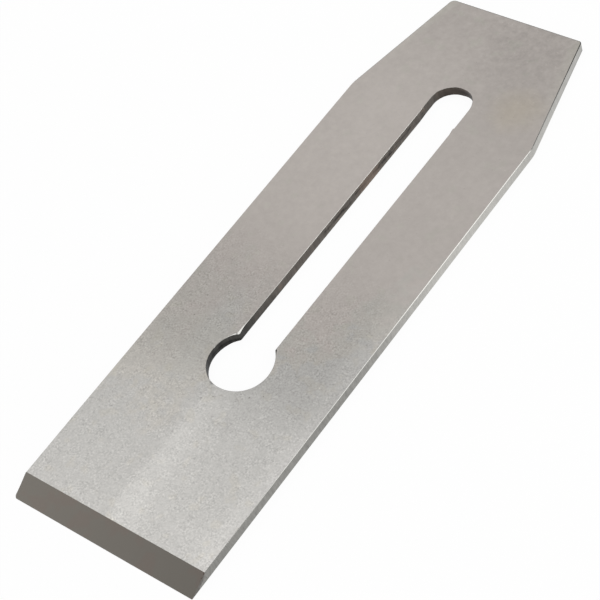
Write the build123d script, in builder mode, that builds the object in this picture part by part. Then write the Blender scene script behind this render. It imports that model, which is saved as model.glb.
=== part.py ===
from build123d import *
from math import radians, tan
import os

# Plane iron: the cutter of a bench plane, one flat bar of hardened steel with a keyhole slot.
# It lies on its flat back with the ground bevel facing up.
# Origin: middle of the cutting edge, in the plane of the flat back.
# +Y runs from the cutting edge to the tail, +Z points out of the bevelled face, +X runs across.

# Bar, in millimetres
length = 190.0
width = 60.0
thickness = 3.0

# Tail, where both long sides draw in
taper_length = 38.7
tail_inset = 8.4
shoulder_radius = 10.0
tail_corner_radius = 2.0

# Cutting end
bevel_angle = 25.0
edge_land = 0.05
worn_corner_radius = 1.0

# Keyhole: a round hole that a screw head passes through, and the slot that the screw slides in
hole_setback = 59.6
hole_diameter = 18.5
slot_width = 12.0
tail_bridge = 28.2
cusp_radius = 0.8

# Edges taken off the bar's faces and off the keyhole's rims
face_edge_break = 0.25
back_edge_break = 0.12
rim_edge_break = 0.1

# Room for a cut to start and end outside the bar
overrun = 2.0

shoulder_y = length - taper_length
tail_half_width = width / 2 - tail_inset
slot_end_y = length - tail_bridge - slot_width / 2
bevel_slope = tan(radians(bevel_angle))
bevel_run = (thickness - edge_land) / bevel_slope

os.makedirs("parts", exist_ok=True)

with BuildPart() as plane_iron:
    # Bar outline: parallel sides, soft shoulders, tapered tail with rounded corners
    with BuildSketch() as outline:
        with BuildLine():
            Polyline(
                (-width / 2, 0),
                (width / 2, 0),
                (width / 2, shoulder_y),
                (tail_half_width, length),
                (-tail_half_width, length),
                (-width / 2, shoulder_y),
                close=True,
            )
        make_face()
        fillet(outline.vertices().group_by(Axis.Y)[1], shoulder_radius)
        fillet(outline.vertices().group_by(Axis.Y)[-1], tail_corner_radius)
    extrude(amount=thickness)

    # Keyhole through the bar, with the two cusps between hole and slot rubbed round
    with BuildSketch() as keyhole:
        with Locations((0, hole_setback)):
            Circle(hole_diameter / 2)
        with Locations((0, (hole_setback + slot_end_y) / 2)):
            SlotCenterToCenter(slot_end_y - hole_setback, slot_width, rotation=90)
        cusps = keyhole.vertices().filter_by_position(
            Axis.Y, hole_setback, slot_end_y, inclusive=(False, False)
        )
        fillet(cusps, cusp_radius)
    extrude(amount=thickness, mode=Mode.SUBTRACT)

    # Edge breaks. The back keeps its full width at the cutting edge, so that end stays sharp.
    face = plane_iron.faces().sort_by(Axis.Z)[-1]
    chamfer(face.outer_wire().edges(), face_edge_break)
    back = plane_iron.faces().sort_by(Axis.Z)[0]
    back_edges = back.outer_wire().edges().sort_by(Axis.Y)[1:]
    chamfer(back_edges, back_edge_break)
    rims = plane_iron.faces().filter_by(Plane.XY).sort_by(Axis.Z)
    rim_edges = rims[0].inner_wires().edges() + rims[-1].inner_wires().edges()
    chamfer(rim_edges, rim_edge_break)

    # Ground bevel: everything above the sloping plane at the cutting end is taken away
    with BuildSketch(Plane.YZ) as bevel_waste:
        with BuildLine():
            Polyline(
                (-overrun, edge_land - overrun * bevel_slope),
                (bevel_run + overrun, thickness + overrun * bevel_slope),
                (-overrun, thickness + overrun * bevel_slope),
                close=True,
            )
        make_face()
    extrude(amount=width / 2 + overrun, both=True, mode=Mode.SUBTRACT)

    # The -X corner of the cutting edge is rubbed round, the +X corner is left square
    with BuildSketch() as corner_waste:
        with Locations((-width / 2, 0)):
            Rectangle(
                worn_corner_radius, worn_corner_radius, align=(Align.MIN, Align.MIN)
            )
        with Locations((worn_corner_radius - width / 2, worn_corner_radius)):
            Circle(worn_corner_radius, mode=Mode.SUBTRACT)
    extrude(amount=thickness, mode=Mode.SUBTRACT)

plane_iron.part.label = "plane_iron"
export_step(plane_iron.part, "parts/plane_iron.step")
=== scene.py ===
from math import atan2, cos, hypot, pi, radians, sqrt, tan

import bmesh
import bpy
from mathutils import Matrix, Quaternion, Vector


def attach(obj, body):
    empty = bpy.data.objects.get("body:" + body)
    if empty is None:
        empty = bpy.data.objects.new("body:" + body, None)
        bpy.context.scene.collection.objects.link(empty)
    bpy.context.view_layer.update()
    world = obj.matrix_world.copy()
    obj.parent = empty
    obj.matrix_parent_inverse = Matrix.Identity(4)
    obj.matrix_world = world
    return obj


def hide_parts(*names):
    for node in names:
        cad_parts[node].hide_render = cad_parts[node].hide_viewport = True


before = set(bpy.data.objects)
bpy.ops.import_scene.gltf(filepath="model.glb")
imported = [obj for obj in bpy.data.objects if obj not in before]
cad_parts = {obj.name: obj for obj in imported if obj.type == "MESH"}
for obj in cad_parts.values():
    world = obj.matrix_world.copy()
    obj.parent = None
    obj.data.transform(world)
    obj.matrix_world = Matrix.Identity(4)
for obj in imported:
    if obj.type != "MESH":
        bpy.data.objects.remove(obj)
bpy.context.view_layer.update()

# The blank: one bar of tool steel, cut to its outline and ground flat on both faces. Its long sides draw in
# towards the tail. The keyhole is milled through it before it is hardened: a round hole that lets a screw's
# head in, and a slot that the screw slides along.
bar_length = 0.190
bar_half_width = 0.030
bar_thickness = 0.003
taper_length = 0.0387
tail_half_width = 0.0216
hole_setback = 0.0596
hole_radius = 0.00925
slot_half_width = 0.0061
slot_end_setback = 0.1558
slot_end_start = 0.1525
slot_end_steps = 28
hole_steps = 44
filed_rim_marks = (0.0036, 0.0024, 0.0014, 0.0006)
burr_height = 0.1483
burr_top = 0.0004
burr_tail = 0.0022
hole_bow = 0.00047
heel_height = 0.0064
worn_reach = 0.028
touching = 1e-6

iron = bmesh.new()


def scribe(x, y):
    return iron.verts.new((x, y, 0))


def cut_straight(*marks):
    for start, end in zip(marks, marks[1:]):
        iron.edges.new((start, end))


def cut_round(mark, centre_y, turn, steps):
    """Swings the mark clockwise about a centre on the middle line, and returns where it ends."""
    swung = bmesh.ops.spin(
        iron, geom=[mark], cent=(0, centre_y, 0), axis=(0, 0, -1), angle=turn, steps=steps
    )
    return next(part for part in swung["geom_last"] if isinstance(part, bmesh.types.BMVert))


cusp_height = sqrt(hole_radius**2 - slot_half_width**2)
cusp_turn = radians(90) + atan2(cusp_height, slot_half_width)
slot_top = scribe(0, slot_end_setback + slot_half_width)
cusp = scribe(slot_half_width, hole_setback + cusp_height)
front_middle = scribe(0, 0)
cut_straight(
    front_middle,
    scribe(bar_half_width, 0),
    scribe(bar_half_width, heel_height / 2),
    scribe(bar_half_width, heel_height),
    scribe(bar_half_width, worn_reach),
    scribe(bar_half_width, bar_length - taper_length),
    scribe(tail_half_width, bar_length),
    scribe(0, bar_length),
    slot_top,
)
slot_side = [
    scribe(slot_half_width, height)
    for height in (slot_end_start, burr_height + burr_top, burr_height, burr_height - burr_tail)
]
slot_side += [
    scribe(slot_half_width, hole_setback + cusp_height + above_cusp) for above_cusp in filed_rim_marks
]
cut_straight(cut_round(slot_top, slot_end_setback, radians(90), slot_end_steps), *slot_side, cusp)
cut_straight(cut_round(cusp, hole_setback, cusp_turn, hole_steps), front_middle)
for mark in iron.verts:
    if abs(hypot(mark.co.x, mark.co.y - hole_setback) - hole_radius) < touching:
        mark.co.y -= hole_bow * (mark.co.x / hole_radius) ** 2
cusp_height -= hole_bow * (slot_half_width / hole_radius) ** 2
bmesh.ops.contextual_create(iron, geom=iron.edges[:])
thickened = bmesh.ops.extrude_face_region(iron, geom=iron.faces[:])["geom"]
bmesh.ops.translate(
    iron,
    vec=(0, 0, bar_thickness),
    verts=[part for part in thickened if isinstance(part, bmesh.types.BMVert)],
)
sawn_through = [face for face in iron.faces if abs(face.calc_center_median().x) < touching]
bmesh.ops.delete(iron, geom=sawn_through, context="FACES")
bmesh.ops.mirror(
    iron, geom=iron.verts[:] + iron.edges[:] + iron.faces[:], axis="X", merge_dist=touching
)
bmesh.ops.recalc_face_normals(iron, faces=iron.faces[:])

# The keyhole's drift: the cutter has wandered to the right on its way to the tail, and leans a little.
# The slot's rounded end is wider than the slot, and bulges on its right.
keyhole_strip = tail_half_width / 2
keyhole_top = slot_end_setback + 2 * slot_half_width
slot_drift = 0.0054
slot_lean = 0.0019
hole_lean = Vector((0.00015, 0.00012, 0))
lean_start = 0.005
lean_full = -0.001
slot_end_drift = 0.00036
slot_end_spread = (1.016, 0.985, 1)
slot_end_bulge = 0.00135
upper_bulge_power = 2


def in_keyhole(point):
    """Whether a point on the iron's surface belongs to the keyhole, and not to the outline round it."""
    return abs(point.x) < keyhole_strip and hole_setback / 2 < point.y < keyhole_top


slot_sides = [
    mark
    for mark in iron.verts
    if in_keyhole(mark.co) and hole_setback + cusp_height < mark.co.y < slot_end_start - touching
]
slot_end = [
    mark for mark in iron.verts if in_keyhole(mark.co) and mark.co.y > slot_end_start - touching
]
bmesh.ops.transform(
    iron,
    matrix=Matrix.Shear("XZ", 4, (slot_drift, 0)),
    space=Matrix.Translation((0, -hole_setback - cusp_height, 0)),
    verts=slot_sides,
)
bmesh.ops.transform(
    iron,
    matrix=Matrix.Shear("XZ", 4, (-slot_lean, 0)),
    space=Matrix.Translation((0, -hole_setback - cusp_height, 0)),
    verts=[mark for mark in slot_sides if mark.co.x < 0 and mark.co.z > bar_thickness / 2],
)
for mark in iron.verts:
    swing = mark.co.x / hole_radius
    from_centre = hypot(mark.co.x, mark.co.y - hole_setback + hole_bow * swing**2)
    if abs(from_centre - hole_radius) < touching and swing < 0 and mark.co.z > bar_thickness / 2:
        rise = mark.co.y - hole_setback
        share = min(max((lean_start - rise) / (lean_start - lean_full), 0), 1)
        mark.co += hole_lean * share * swing**2
bmesh.ops.scale(
    iron, vec=slot_end_spread, space=Matrix.Translation((0, -slot_end_setback, 0)), verts=slot_end
)
for mark in slot_end:
    share = mark.co.x / slot_half_width
    power = upper_bulge_power if mark.co.z > bar_thickness / 2 else 1
    if 0 < share < 1 and mark.co.y > slot_end_setback:
        mark.co.y += slot_end_bulge * share**power * (1 - share)
bmesh.ops.translate(iron, vec=(slot_end_drift, 0, 0), verts=slot_end)

# The rounded corners: shoulders, tail corners and the keyhole's two cusps are dressed by hand.
# The cutting edge's left corner is worn round, and its right corner is still as sharp as it was ground.
# The left cusp stands out as a blunt nose, and the left side is worn in beside the cutting edge.
shoulder_radius = 0.010
left_tail_radius = 0.0016
right_tail_radius = 0.0010
left_cusp_radius = 0.0009
right_cusp_radius = 0.0004
worn_corner_radius = 0.001
corner_reach = 0.0001
shoulder_turn = atan2(bar_half_width - tail_half_width, taper_length)
cusp_bend = atan2(cusp_height, slot_half_width)
cusp_nose = Vector((0.00026, -0.00006, 0))
cusp_foot = Vector((0.00006, -0.00018, 0))
nose_reach = 0.0024
side_wear = 0.00024
wear_behind_heel = 0.35


def dress(edges, offset, steps):
    """Rounds or bevels these edges."""
    bmesh.ops.bevel(
        iron,
        geom=edges,
        offset=offset,
        offset_type="OFFSET",
        segments=steps,
        profile=0.5,
        affect="EDGES",
        material=-1,
        clamp_overlap=False,
    )


def round_corner(x, y, radius, turn, steps):
    upright = [
        edge
        for edge in iron.edges
        if all(hypot(corner.co.x - x, corner.co.y - y) < corner_reach for corner in edge.verts)
    ]
    dress(upright, radius * tan(turn / 2), steps)


shoulder_y = bar_length - taper_length
for side, tail_radius in ((-1, left_tail_radius), (1, right_tail_radius)):
    round_corner(side * bar_half_width, shoulder_y, shoulder_radius, shoulder_turn, steps=6)
    round_corner(side * tail_half_width, bar_length, tail_radius, radians(90) - shoulder_turn, steps=12)
round_corner(-slot_half_width, hole_setback + cusp_height, left_cusp_radius, cusp_bend, steps=6)
round_corner(slot_half_width, hole_setback + cusp_height, right_cusp_radius, cusp_bend, steps=4)
round_corner(-bar_half_width, 0, worn_corner_radius, radians(90), steps=10)
for mark in iron.verts:
    from_cusp = hypot(mark.co.x + slot_half_width, mark.co.y - hole_setback - cusp_height)
    pushed = cusp_nose if mark.co.z > bar_thickness / 2 else cusp_foot
    mark.co += pushed * max(1 - from_cusp / nose_reach, 0)
    if mark.co.x < -bar_half_width + worn_corner_radius + touching and mark.co.y < worn_reach - touching:
        mark.co.x += side_wear * (wear_behind_heel if mark.co.y > heel_height - touching else 1)

# The broken edges: a file is run along the outline and round the keyhole on both faces.
# The cutting edge itself is left alone, and so is the heel, where the grinding of the bevel ends.
# Round the tail more is taken off.
face_edge_break = 0.00012
back_edge_break = 0.00003
rim_edge_break = 0.00005
tail_face_break = 0.00011
tail_back_break = 0.00014
front_margin = 0.0015
least_turn = radians(60)


def arrises(height, of_keyhole):
    """The edges between a wall and the face at this height, round the keyhole or round the outline."""
    found = []
    for edge in iron.edges:
        middle = (edge.verts[0].co + edge.verts[1].co) / 2
        level = all(abs(corner.co.z - height) < touching for corner in edge.verts)
        if level and in_keyhole(middle) == of_keyhole and edge.calc_face_angle() > least_turn:
            if of_keyhole or middle.y > front_margin:
                found.append(edge)
    return found


dress(arrises(bar_thickness, of_keyhole=False), face_edge_break, steps=1)
dress(arrises(0, of_keyhole=False), back_edge_break, steps=1)
dress(arrises(bar_thickness, of_keyhole=True), rim_edge_break, steps=1)
dress(arrises(0, of_keyhole=True), rim_edge_break, steps=1)
for mark in iron.verts:
    outward = Vector((mark.co.x, mark.co.y - slot_end_setback, 0))
    outside = outward.length > 2 * slot_half_width
    share = (mark.co.y - shoulder_y) / taper_length
    if outside and mark.co.y > shoulder_y + face_edge_break:
        if abs(mark.co.z - bar_thickness) < touching:
            mark.co -= outward.normalized() * tail_face_break
        elif mark.co.z < touching:
            mark.co -= outward.normalized() * tail_back_break * share
        elif mark.co.z < back_edge_break + touching and mark.co.x > 0:
            mark.co.z += tail_back_break * share

# The keyhole's three small faults: a file has slipped over the upper rim at the left cusp and left a facet.
# A chip is gone from the right cusp, and its facets get the keyhole's dark finish as a painted dark
# reflection. A burr from milling is still on the slot's right rim.
facet_width = 0.00046
facet_drop = 0.00040
facet_fade = 3
facet_reach_above = 0.0037
facet_reach_below = 0.00222
chip_width = 0.00044
chip_drop = 0.00016
chip_fade = 1
chip_reach_above = 0.000425
chip_reach_below = 0.0017
burr_size = 0.00028


def file_rim(cusp_x, above, below, width, drop, fade):
    """Cuts the upper rim back into the face and down, most at the cusp and nothing at its two reaches."""
    for mark in iron.verts:
        from_cusp = hypot(mark.co.x - cusp_x, mark.co.y - hole_setback - cusp_height)
        reach = above if mark.co.y > hole_setback + cusp_height else below
        if abs(mark.co.z - bar_thickness + rim_edge_break) < touching and from_cusp < reach:
            share = 1 - from_cusp / reach
            for edge in mark.link_edges:
                across = edge.other_vert(mark).co - mark.co
                if across.z > touching:
                    into_steel = Vector((across.x, across.y, 0)).normalized()
                    bmesh.ops.translate(
                        iron, vec=into_steel * width * share, verts=[edge.other_vert(mark)]
                    )
            bmesh.ops.translate(iron, vec=(0, 0, -drop * share**fade), verts=[mark])


file_rim(
    -slot_half_width, facet_reach_above, facet_reach_below, facet_width, facet_drop, facet_fade
)
file_rim(slot_half_width, chip_reach_above, chip_reach_below, chip_width, chip_drop, chip_fade)
burr = [
    mark
    for mark in iron.verts
    if abs(mark.co.y - burr_height) < touching and mark.co.x > 0 and mark.co.z > bar_thickness / 2
]
bmesh.ops.translate(iron, vec=(-burr_size, 0, 0), verts=burr)

# The cutting bevel: one flat facet ground across the whole width, at 25 degrees to the flat back.
# It comes down to an edge a hundredth of a millimetre thick, as it leaves the grinder unhoned, and its heel
# runs very slightly askew.
bevel_slope = radians(25)
bevel_skew = 0.0018
skew_pivot = bar_half_width * 2 / 3
edge_land = 0.00001
cut_margin = touching / 10
bevel_run = (bar_thickness - edge_land) / tan(bevel_slope)

bmesh.ops.bisect_plane(
    iron,
    geom=iron.verts[:] + iron.edges[:] + iron.faces[:],
    dist=cut_margin,
    plane_co=(skew_pivot, 0, edge_land),
    plane_no=(-tan(bevel_slope) * bevel_skew, -tan(bevel_slope), 1),
    clear_outer=True,
)
open_edges = [edge for edge in iron.edges if edge.is_boundary]
bmesh.ops.contextual_create(iron, geom=open_edges)
bmesh.ops.remove_doubles(iron, verts=iron.verts[:], dist=touching)
bmesh.ops.recalc_face_normals(iron, faces=iron.faces[:])

iron_mesh = bpy.data.meshes.new("iron")
iron.to_mesh(iron_mesh)
iron.free()
iron_piece = bpy.data.objects.new("iron", iron_mesh)
bpy.context.scene.collection.objects.link(iron_piece)


# The face: ground all over, and ground again on its hardened front part, which is whiter and coarser.
# That part ends in an uneven border at the keyhole, and a painted highlight, a lighter streak, runs back to
# it from the edge.
# Behind it the steel is faintly warm from tempering, and brownish near the tail, whose margins also get a
# painted highlight. A few pits are left.
class Wire:
    """The value on a node's socket. A sum written with it adds the Math node that works it out."""

    def __init__(self, finish, socket):
        self.finish = finish
        self.socket = socket

    def __add__(self, other):
        return self.finish.node("ShaderNodeMath", {"operation": "ADD"}, {0: self, 1: other})

    def __sub__(self, other):
        return self.finish.node("ShaderNodeMath", {"operation": "SUBTRACT"}, {0: self, 1: other})

    def __rsub__(self, other):
        return self.finish.node("ShaderNodeMath", {"operation": "SUBTRACT"}, {0: other, 1: self})

    def __mul__(self, other):
        return self.finish.node("ShaderNodeMath", {"operation": "MULTIPLY"}, {0: self, 1: other})

    __radd__ = __add__
    __rmul__ = __mul__


class Finish:
    """A material, or the world round the bench, with the nodes that make it."""

    def __init__(self, owner):
        self.owner = owner
        owner.use_nodes = True
        self.tree = owner.node_tree
        self.tree.nodes.clear()

    def node(self, kind, settings, inputs, output=0):
        """Adds a node of this type, with its settings made first, and returns one of its outputs."""
        made = self.tree.nodes.new(kind)
        for setting, value in settings.items():
            setattr(made, setting, value)
        for name, value in inputs.items():
            if isinstance(value, Wire):
                self.tree.links.new(value.socket, made.inputs[name])
            else:
                made.inputs[name].default_value = value
        return Wire(self, made.outputs[output]) if made.outputs else None

    def place(self):
        """The point on the iron, in metres."""
        return self.node("ShaderNodeTexCoord", {}, {}, "Object")

    def along(self, place, axis):
        return self.node("ShaderNodeSeparateXYZ", {}, {"Vector": place}, axis)

    def ramp(self, value, start, end, shape="SMOOTHSTEP"):
        """0 up to start and 1 from end on."""
        return self.node(
            "ShaderNodeMapRange",
            {"interpolation_type": shape},
            {"Value": value, "From Min": start, "From Max": end},
        )

    def patch(self, place, centre, reach, soft=1.0):
        """1 in the middle of an oval patch and 0 outside it. Reach is half its length each way."""
        stretch = (1 / reach[0], 1 / reach[1], 0)
        shift = (-centre[0] / reach[0], -centre[1] / reach[1], 0)
        near = self.node(
            "ShaderNodeVectorMath",
            {"operation": "MULTIPLY_ADD"},
            {0: place, 1: stretch, 2: shift},
        )
        far = self.node("ShaderNodeVectorMath", {"operation": "LENGTH"}, {0: near}, "Value")
        return 1 - self.ramp(far, 1 - soft, 1)

    def mottle(self, place, size, detail=2.0, stretch=(1, 1, 1)):
        """Blotches about this size across, in metres, as a value about 0."""
        laid = self.node(
            "ShaderNodeMapping", {"vector_type": "POINT"}, {"Vector": place, "Scale": stretch}
        )
        return (
            self.node(
                "ShaderNodeTexNoise",
                {},
                {"Vector": laid, "Scale": 1 / size, "Detail": detail, "Roughness": 0.6},
            )
            - 0.5
        )

    def mix(self, amount, plain, other):
        return self.node(
            "ShaderNodeMix",
            {"data_type": "RGBA", "clamp_factor": True},
            {"Factor": amount, 6: plain, 7: other},
            2,
        )

    def shade(self, colour, tone):
        """The colour made lighter or darker by a value."""
        return self.node("ShaderNodeVectorMath", {"operation": "SCALE"}, {0: colour, "Scale": tone})

    def bare_metal(self, colour, roughness, height, depth):
        bumps = self.node(
            "ShaderNodeBump", {}, {"Height": height, "Distance": depth, "Strength": 1.0}
        )
        surface = {"Base Color": colour, "Metallic": 1.0, "Roughness": roughness, "Normal": bumps}
        shader = self.node("ShaderNodeBsdfPrincipled", {}, surface)
        self.node("ShaderNodeOutputMaterial", {}, {"Surface": shader})
        return self.owner


new_steel = (0.389, 0.381, 0.366, 1.0)
tempered_steel = (0.407, 0.376, 0.352, 1.0)
straw_steel = (0.398, 0.381, 0.345, 1.0)
stained_steel = (0.419, 0.380, 0.330, 1.0)
pit_dark = 0.5
pits = [
    (0.0002, 0.0474, 0.00030),
    (-0.0024, 0.0457, 0.00035),
    (0.0090, 0.0515, 0.00040),
    (0.0121, 0.0534, 0.00030),
    (0.0065, 0.0513, 0.00025),
    (-0.0208, 0.0658, 0.00035),
    (-0.0125, 0.0085, 0.00035),
    (-0.0215, 0.0725, 0.00030),
    (-0.0032, 0.0507, 0.00060),
    (-0.0026, 0.0505, 0.00060),
]

face = Finish(bpy.data.materials.new("ground_face"))
spot = face.place()
across = face.along(spot, "X")
up_bar = face.along(spot, "Y")
drift = face.mottle(spot, size=0.011, detail=3.0)
clouds = face.mottle(spot, size=0.0055, detail=2.0)
brush = face.mottle(spot, size=0.0010, detail=2.0, stretch=(0.16, 1, 1))
reground = 1 - face.ramp(up_bar + drift * 0.012, 0.0430, 0.0592)
coarse = 1 - face.ramp(up_bar + drift * 0.012, 0.076, 0.103)
heel_light = 1 - face.ramp(up_bar, 0.008, 0.046, "LINEAR")
# The streak is a painted highlight running back from the cutting edge.
streak = (
    face.ramp(across + brush * 0.006, -0.0048, -0.0002)
    * (1 - face.ramp(across + brush * 0.008, 0.0, 0.010))
    * (1 - face.ramp(up_bar, 0.033, 0.040) * 0.22)
    * (1 - face.ramp(up_bar, 0.042, 0.055))
    * (1 + clouds * 1.2)
)
beside_streak = face.ramp(across, 0.0040, 0.0080) * (1 - face.ramp(across, 0.0110, 0.0150))
beside_streak = beside_streak * face.ramp(up_bar, 0.012, 0.020) * (1 - face.ramp(up_bar, 0.032, 0.040))
heel_right = face.ramp(across, -0.004, 0.001) * (1 - face.ramp(up_bar, 0.010, 0.020))
heel_dark = face.ramp(across, -0.0050, -0.0020) * (1 - face.ramp(up_bar, 0.0080, 0.0130))
right_rim = face.ramp(across, 0.0220, 0.0285) * (1 - face.ramp(up_bar, 0.07, 0.11))
recovered = face.ramp(up_bar - across * 0.15, 0.083, 0.137)
behind_hole = face.ramp(up_bar, 0.046, 0.078) * (1 - recovered)
tail_shade = face.ramp(up_bar, 0.085, 0.160, "LINEAR") * face.ramp(across, -0.010, 0.014)
end_shade = face.ramp(up_bar, 0.150, 0.192)
from_middle = face.node("ShaderNodeMath", {"operation": "ABSOLUTE"}, {0: across})
taper_slope = (bar_half_width - tail_half_width) / taper_length
# tail_margin: a painted highlight along the taper's edges, where their rounding catches the light; it also
# warms their tint.
tail_margin = face.ramp(from_middle + up_bar * taper_slope, 0.0590, 0.0625) * end_shade
tail_smudge = face.patch(spot, centre=(0.0030, 0.1760), reach=(0.011, 0.016))
tone = (
    0.95
    + reground * 0.175
    + heel_light * 0.205
    + streak * 0.175
    + beside_streak * 0.040
    + heel_right * 0.045
    - heel_dark * (0.085 - face.ramp(across, 0.002, 0.008) * 0.050)
    + right_rim * 0.10
    - behind_hole * 0.070
    - tail_shade * (0.116 - end_shade * 0.050)
    - end_shade * 0.09
    - tail_smudge * 0.035
    + tail_margin * 0.08
    + drift * 0.06
)
for across_pit, up_pit, width in pits:
    tone = tone - face.patch(spot, centre=(across_pit, up_pit), reach=(width, width)) * pit_dark
grit = face.mottle(spot, size=0.00052, detail=3.0)
clusters = face.ramp(face.mottle(spot, size=0.0022, detail=2.0), -0.14, 0.16)
tarnished = end_shade * (0.35 + face.ramp(across, -0.012, 0.004) * 0.65)
haze = face.mottle(spot, size=0.0019, detail=2.0)
specks = face.mottle(spot, size=0.0007, detail=1.0)
tone = tone * (1 + grit * coarse * (0.44 + clusters * 0.80) + haze * (0.17 + tarnished * 0.33))
tone = tone + face.ramp(specks, 0.22, 0.28) * 0.06 - (1 - face.ramp(specks, -0.30, -0.24)) * 0.10
tone = tone + face.ramp(specks, 0.13, 0.20) * tarnished * 0.05
left_part = 1 - face.ramp(across, -0.011, 0.008)
warm_start = 0.062 - left_part * 0.029 + face.ramp(across, 0.017, 0.030) * 0.020
warm_end = 0.078 + left_part * 0.009 + face.ramp(across, 0.014, 0.028) * 0.028
warm = face.ramp(up_bar + drift * 0.02 + clouds * 0.05, warm_start, warm_end, "LINEAR")
grey_patch = face.patch(spot, centre=(-0.0125, 0.0645), reach=(0.0075, 0.022))
stain = face.patch(spot, centre=(0.0185, 0.1610), reach=(0.013, 0.013)) + clouds * 0.6
straw = face.ramp(face.mottle(spot, size=0.0040, detail=1.0), 0.10, 0.20) * (0.45 + end_shade * 0.25)
straw = straw + face.ramp(warm, 0.0, 0.25) * (1 - face.ramp(warm, 0.5, 1.0)) * 0.45
straw = straw + tail_margin * 0.8
tint = face.mix(warm - grey_patch * 0.9, new_steel, tempered_steel)
tint = face.mix(straw, tint, straw_steel)
tint = face.mix(face.ramp(stain, 0.15, 1.0, "LINEAR"), tint, stained_steel)
face_steel = face.bare_metal(
    face.shade(tint, tone), roughness=0.38 + coarse * 0.05, height=grit, depth=0.000002
)

# The flat back: ground like the face, and lapped smooth and bright behind the cutting edge.
# The photograph doesn't show it, so it has the finish that such irons have there.
back = Finish(bpy.data.materials.new("lapped_back"))
spot = back.place()
up_bar = back.along(spot, "Y")
drift = back.mottle(spot, size=0.014, detail=3.0)
lapped = 1 - back.ramp(up_bar + drift * 0.01, 0.026, 0.034)
lines = back.mottle(spot, size=0.0004, detail=2.0, stretch=(0.03, 1, 1))
tint = back.mix(lapped, tempered_steel, new_steel)
tint = back.shade(tint, 1.05 + lapped * 0.2 + lines * 0.12 + drift * 0.08)
back_steel = back.bare_metal(tint, roughness=0.36 - lapped * 0.12, height=lines, depth=0.000002)

# The bevel's finish: ground last and not honed, it is smoother than the face and as grey as plain steel.
# The heat of the grinding has left faint brownish clouds, and there is rust in the chips at its right end.
bevel_plain = (0.445, 0.412, 0.365, 1.0)
bevel_brown = (0.452, 0.398, 0.352, 1.0)
chip_rust = (0.230, 0.165, 0.140, 1.0)
bevel = Finish(bpy.data.materials.new("ground_bevel"))
spot = bevel.place()
across = bevel.along(spot, "X")
cloud = bevel.mottle(spot, size=0.009, detail=2.0)
scratches = bevel.mottle(spot, size=0.00025, detail=2.0, stretch=(1, 0.04, 0.04))
tone = 1.19 - bevel.ramp(across, -0.030, 0.030, "LINEAR") * 0.28 + cloud * 0.05 + scratches * 0.06
tint = bevel.mix(bevel.ramp(cloud, 0.0, 0.10), bevel_plain, bevel_brown)
at_end = bevel.ramp(across, 0.0295, 0.0299)
chipped = bevel.ramp(bevel.mottle(spot, size=0.0007, detail=2.0), 0.04, 0.12)
tint = bevel.mix(chipped * at_end, tint, chip_rust)
tint = bevel.shade(tint, tone)
bevel_steel = bevel.bare_metal(tint, roughness=0.22, height=scratches, depth=0.000001)

# The long edges: linished across on a belt, which leaves fine lines through the bar's thickness.
# Their front half is painted darker, a painted darker reflection, and a painted shade line runs along the
# taper's lower rim. At the bevel's right end a dark burr is rolled over them, with rust in its chips.
side_plain = (0.498, 0.490, 0.460, 1.0)
side_front_tint = (0.500, 0.493, 0.461, 1.0)
rolled_burr = (0.287, 0.274, 0.251, 1.0)
sides = Finish(bpy.data.materials.new("linished_edge"))
spot = sides.place()
across = sides.along(spot, "X")
up_bar = sides.along(spot, "Y")
off_back = sides.along(spot, "Z")
# Painted darker reflection: the front half of the long edges is painted darker.
painted_dark_front = 1 - sides.ramp(up_bar, 0.060, 0.114)
front = 1 - sides.ramp(up_bar, 0.010, 0.030)
tail_end = sides.ramp(up_bar, 0.120, 0.185)
shoulder = sides.ramp(up_bar, 0.143, 0.149) * (1 - sides.ramp(up_bar, 0.150, 0.158))
belt_lines = sides.mottle(spot, size=0.0006, detail=3.0, stretch=(1, 1, 0.18))
smears = sides.mottle(spot, size=0.0011, detail=3.0, stretch=(1, 1, 0.5))
tone = (
    1.0
    - painted_dark_front * 0.475
    - front * (0.02 + sides.ramp(smears, 0.02, 0.14) * 0.13)
    - tail_end * 0.22
    - sides.ramp(up_bar, 0.1845, 0.1895) * 0.12
    # painted shade line along the taper's lower rim
    - (1 - sides.ramp(off_back, 0.0002, 0.0008)) * sides.ramp(up_bar, 0.162, 0.180) * 0.22
    - shoulder * 0.05
    + belt_lines * 0.36
    + smears * 0.25
)
tint = sides.mix(painted_dark_front, side_plain, side_front_tint)
from_bevel = (up_bar * tan(bevel_slope) - off_back) * cos(bevel_slope)
bulge = sides.ramp(up_bar, 0.0002, 0.0025) * (1 - sides.ramp(up_bar, 0.0046, 0.0064, "LINEAR"))
ragged = from_bevel + sides.mottle(spot, size=0.0008, detail=3.0) * 0.0011 - bulge * 0.00068
right_end = sides.ramp(across, 0, 0.001)
chips = sides.ramp(sides.mottle(spot, size=0.0005, detail=2.0), 0.0, 0.06) * right_end
tint = sides.mix((1 - sides.ramp(ragged, 0.00022, 0.00032)) * chips, tint, chip_rust)
tint = sides.mix((1 - sides.ramp(ragged, 0.00006, 0.00018)) * right_end, tint, rolled_burr)
tint = sides.shade(tint, tone)
side_steel = sides.bare_metal(tint, roughness=0.3, height=belt_lines, depth=0.000003)
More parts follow.
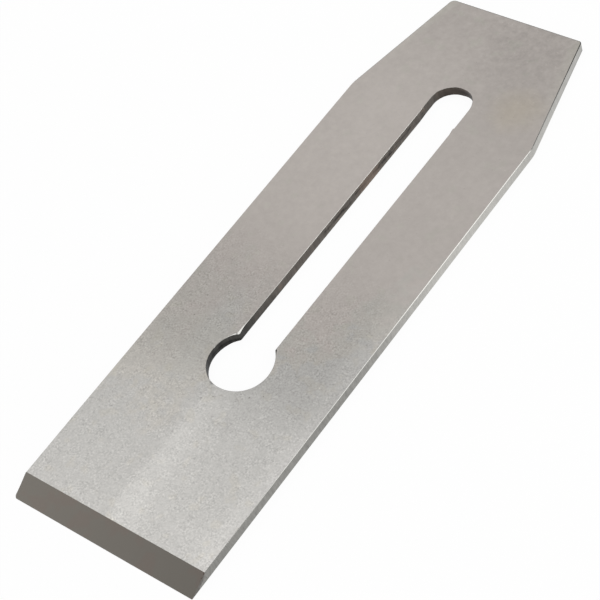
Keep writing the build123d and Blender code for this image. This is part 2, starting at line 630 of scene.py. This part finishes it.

# The broken edges' finish: bright filed steel, with a painted highlight that is strongest at the left cusp,
# on the right side and at the slot's end. The left rear side and the tail are darker.
edge_bright = (0.620, 0.610, 0.585, 1.0)
edge_dull = (0.235, 0.229, 0.219, 1.0)
edges = Finish(bpy.data.materials.new("broken_edge"))
spot = edges.place()
across = edges.along(spot, "X")
up_bar = edges.along(spot, "Y")
file_marks = edges.mottle(spot, size=0.0006, detail=2.0)
tapered = edges.ramp(up_bar, 0.1505, 0.1525)
left_rear = (1 - edges.ramp(across, -0.020, -0.012)) * edges.ramp(up_bar, 0.055, 0.075) * (1 - tapered)
left_cusp = (-slot_half_width, hole_setback + cusp_height)
cusp_painted_glint = edges.patch(spot, centre=left_cusp, reach=(0.005, 0.005), soft=0.4)
slot_end_painted_glint = edges.patch(spot, centre=(-0.0040, 0.1595), reach=(0.0045, 0.0045), soft=0.6)
# The rise behind the hole and the patches at the left cusp and the slot's end are painted highlights.
tone = (
    0.68
    + edges.ramp(up_bar, 0.075, 0.100) * 0.22
    - left_rear * 0.50
    + cusp_painted_glint * 0.30
    + slot_end_painted_glint * 0.70
    - tapered * 0.26
    - edges.ramp(up_bar, 0.160, 0.186) * 0.42
    + file_marks * 0.2
)
tint = edges.shade(edges.mix(tapered, edge_bright, edge_dull), tone)
edge_steel = edges.bare_metal(tint, roughness=0.16, height=file_marks, depth=0.000002)

# The keyhole's wall: left as it was milled, and darkened by the scale of hardening, with some rusty spots.
# Its cutter marks run through the thickness. The slot's left wall is scored along its length and has one
# gouge, and a groove runs round the hole. Where the slot meets the hole its wall is painted near black, a
# painted shade.
scale_grey = (0.119, 0.106, 0.094, 1.0)
scale_warm = (0.136, 0.107, 0.088, 1.0)
shaded_scale_black = (0.084, 0.082, 0.075, 1.0)
keyhole = Finish(bpy.data.materials.new("keyhole_scale"))
spot = keyhole.place()
across = keyhole.along(spot, "X")
up_bar = keyhole.along(spot, "Y")
height = keyhole.ramp(keyhole.along(spot, "Z"), 0.0, bar_thickness, "LINEAR")
milled = keyhole.mottle(spot, size=0.0009, detail=4.0, stretch=(1, 1, 0.14))
scored = keyhole.mottle(spot, size=0.0006, detail=3.0, stretch=(0.14, 0.14, 1))
blots = keyhole.mottle(spot, size=0.0034, detail=3.0)
round_end = 1 - keyhole.ramp(up_bar, 0.0655, 0.0700)
# Painted shade: the slot's wall next to the hole is painted darker and blacker.
cusp_painted_shade = 1 - keyhole.ramp(up_bar, 0.066, 0.084)
far_side = keyhole.ramp(up_bar, 0.147, 0.153)
far_end = keyhole.ramp(up_bar, 0.1555, 0.1605)
middle_band = keyhole.ramp(height, 0.20, 0.40) * (1 - keyhole.ramp(height, 0.60, 0.85))
lower_wall_lighter = keyhole.ramp(up_bar, 0.084, 0.098) * (1 - keyhole.ramp(up_bar, 0.142, 0.150))
warm_spot = keyhole.patch(spot, centre=(-slot_half_width, 0.1248), reach=(0.005, 0.0075))
streaks = (
    keyhole.ramp(scored, 0.01, 0.10)
    * keyhole.ramp(up_bar, 0.092, 0.110)
    * (1 - keyhole.ramp(up_bar, 0.150, 0.155))
    * (1 - warm_spot * 0.8)
)
gouge = keyhole.patch(spot, centre=(-slot_half_width, 0.1110), reach=(0.005, 0.0034), soft=0.5)
gouge = gouge * keyhole.ramp(height, 0.30, 0.44) * (1 - keyhole.ramp(height, 0.56, 0.70))
chatter = far_end * keyhole.ramp(across + milled * 0.006, -0.003, 0.002)
far_tip = far_side * keyhole.ramp(across, 0.0030, 0.0052)
from_groove = height + keyhole.ramp(up_bar, 0.0620, 0.0685) * 0.30
groove = keyhole.ramp(from_groove, 0.26, 0.40) * (1 - keyhole.ramp(from_groove, 0.46, 0.60))
above_groove = keyhole.ramp(from_groove, 0.50, 0.70) * keyhole.ramp(up_bar, 0.060, 0.066)
tone = (
    0.92
    - cusp_painted_shade * 0.32
    - round_end * 0.22
    - far_side * 0.20
    - far_end * 0.32
    + height * (0.26 - cusp_painted_shade * 0.20)
    + (1 - keyhole.ramp(height, 0.10, 0.45)) * lower_wall_lighter * 0.30
    + warm_spot * 0.30
    + milled * (1.10 - far_end * 0.75)
    + blots * 0.60
    - streaks * middle_band * 0.74
    - gouge * 0.70
    - chatter * middle_band * 0.28
    - far_tip * 0.22
    - round_end * (groove * 0.22 - above_groove * 0.20)
    - (1 - keyhole.ramp(up_bar, 0.0530, 0.0600)) * 0.18
)
warm = keyhole.ramp(blots, 0.06, 0.16) * 0.6 + warm_spot * 1.8 + far_end * 0.6
tint = keyhole.mix(warm, scale_grey, scale_warm)
tint = keyhole.mix(cusp_painted_shade, tint, shaded_scale_black)
tint = keyhole.shade(tint, tone)
keyhole_steel = keyhole.bare_metal(tint, roughness=0.5, height=milled, depth=0.00001)

# Which finish goes where: level panels are the face and the back, and the wide tilted one is the bevel.
# Narrow tilted ones are broken edges, and upright ones are the long edges and the keyhole's wall. Of the
# keyhole's rims only the upper left one is filed bright, and the others have kept their scale; on the right
# cusp's chip that dark finish is a painted dark reflection.
for steel in (face_steel, back_steel, bevel_steel, side_steel, edge_steel, keyhole_steel):
    iron_mesh.materials.append(steel)
FACE, BACK, BEVEL, SIDE, EDGE, KEYHOLE = range(6)
level_facing = 0.99
bevel_facing = 0.9
tilted_facing = 0.1
sharp_turn = radians(12)
for panel in iron_mesh.polygons:
    facing_up = panel.normal.z
    middle = panel.center
    upper_left = middle.x < 0 and middle.y > hole_setback and middle.z > bar_thickness / 2
    if facing_up > level_facing:
        panel.material_index = FACE
    elif facing_up < -level_facing:
        panel.material_index = BACK
    elif facing_up > bevel_facing and middle.y < bevel_run:
        panel.material_index = BEVEL
    elif in_keyhole(middle) and not (upper_left and abs(facing_up) > tilted_facing):
        panel.material_index = KEYHOLE
    elif abs(facing_up) > tilted_facing:
        panel.material_index = EDGE
    else:
        panel.material_index = SIDE
iron_mesh.shade_smooth()
iron_mesh.set_sharp_from_angle(angle=sharp_turn)

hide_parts("plane_iron")
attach(iron_piece, "root")

# The floor: a plain white sheet of paper that the iron lies flat on.
# The camera and the steel's reflections see it nearly white, and it still takes the iron's soft shadow.
floor_reach = 8.0
floor_drop = 0.0001
floor_shape = bmesh.new()
bmesh.ops.create_grid(floor_shape, size=floor_reach, x_segments=1, y_segments=1)
bmesh.ops.translate(floor_shape, vec=(0, 0, -floor_drop), verts=floor_shape.verts[:])
floor_mesh = bpy.data.meshes.new("floor")
floor_shape.to_mesh(floor_mesh)
floor_shape.free()
floor = bpy.data.objects.new("floor", floor_mesh)
bpy.context.scene.collection.objects.link(floor)
paper_white = (0.93, 0.93, 0.93, 1.0)
pure_white = (1.0, 1.0, 1.0, 1.0)
share_seen_white = 0.94
paper = Finish(bpy.data.materials.new("white_paper"))
seen_directly = paper.node("ShaderNodeLightPath", {}, {}, "Is Camera Ray")
seen_in_gloss = paper.node("ShaderNodeLightPath", {}, {}, "Is Glossy Ray")
seen_through = paper.node("ShaderNodeLightPath", {}, {}, "Is Transmission Ray")
lit = paper.node("ShaderNodeBsdfDiffuse", {}, {"Color": paper_white})
white = paper.node("ShaderNodeEmission", {}, {"Color": pure_white, "Strength": 1.0})
seen = seen_directly + seen_in_gloss + seen_through
paper_shader = paper.node("ShaderNodeMixShader", {}, {0: seen * share_seen_white, 1: lit, 2: white})
paper.node("ShaderNodeOutputMaterial", {}, {"Surface": paper_shader})
floor_mesh.materials.append(paper.owner)

# The light: a long softbox hangs over the bench, a broad one stands behind the camera, and a strip stands
# to the right. The room round them is plain grey, and pale where its walls meet the floor.
room_grey = 0.35
wall_glow = 0.55
room = bpy.data.worlds.new("room")
room_light = Finish(room)
direction = room_light.node("ShaderNodeTexCoord", {}, {}, "Generated")
low_wall = 1 - room_light.ramp(room_light.along(direction, "Z"), 0.05, 0.25)
room_shader = room_light.node(
    "ShaderNodeBackground", {}, {"Color": pure_white, "Strength": low_wall * wall_glow + room_grey}
)
room_light.node("ShaderNodeOutputWorld", {}, {"Surface": room_shader})
bpy.context.scene.world = room


def softbox(name, at, aim, size, radiance):
    light = bpy.data.lights.new(name, "AREA")
    light.shape = "RECTANGLE"
    light.size, light.size_y = size
    light.energy = radiance * pi * size[0] * size[1]
    lamp = bpy.data.objects.new(name, light)
    lamp.location = at
    lamp.rotation_mode = "QUATERNION"
    lamp.rotation_quaternion = (Vector(aim) - Vector(at)).to_track_quat("-Z", "Y")
    lamp.visible_camera = False
    bpy.context.scene.collection.objects.link(lamp)


iron_middle = (0, 0.09, 0)
softbox("overhead", at=(-0.2, 0.80, 1.3), aim=(-0.2, 0.80, 0), size=(2.8, 1.8), radiance=1.05)
softbox("strip", at=(1.37, 0.81, 0.85), aim=iron_middle, size=(0.62, 1.1), radiance=1.6)
softbox("behind_camera", at=(0.9, -1.1, 1.2), aim=iron_middle, size=(1.8, 1.6), radiance=1.2)

# The camera: a long lens above the right front corner, rolled so that the iron lies corner to corner.
camera_at = Vector((0.263001, -0.108686, 0.38423))
camera_aim = Vector((0.000353, 0.083768, 0))
camera_roll = radians(-21.995)
lens = 116.09
sensor_width = 36
nearest_seen = 0.01
viewpoint = bpy.data.cameras.new("camera")
viewpoint.lens = lens
viewpoint.sensor_width = sensor_width
viewpoint.clip_start = nearest_seen
camera = bpy.data.objects.new("camera", viewpoint)
camera.location = camera_at
camera.rotation_mode = "QUATERNION"
level = (camera_aim - camera_at).to_track_quat("-Z", "Y")
camera.rotation_quaternion = level @ Quaternion((0, 0, 1), camera_roll)
bpy.context.scene.collection.objects.link(camera)
bpy.context.scene.camera = camera
bpy.context.scene.view_settings.view_transform = "Standard"
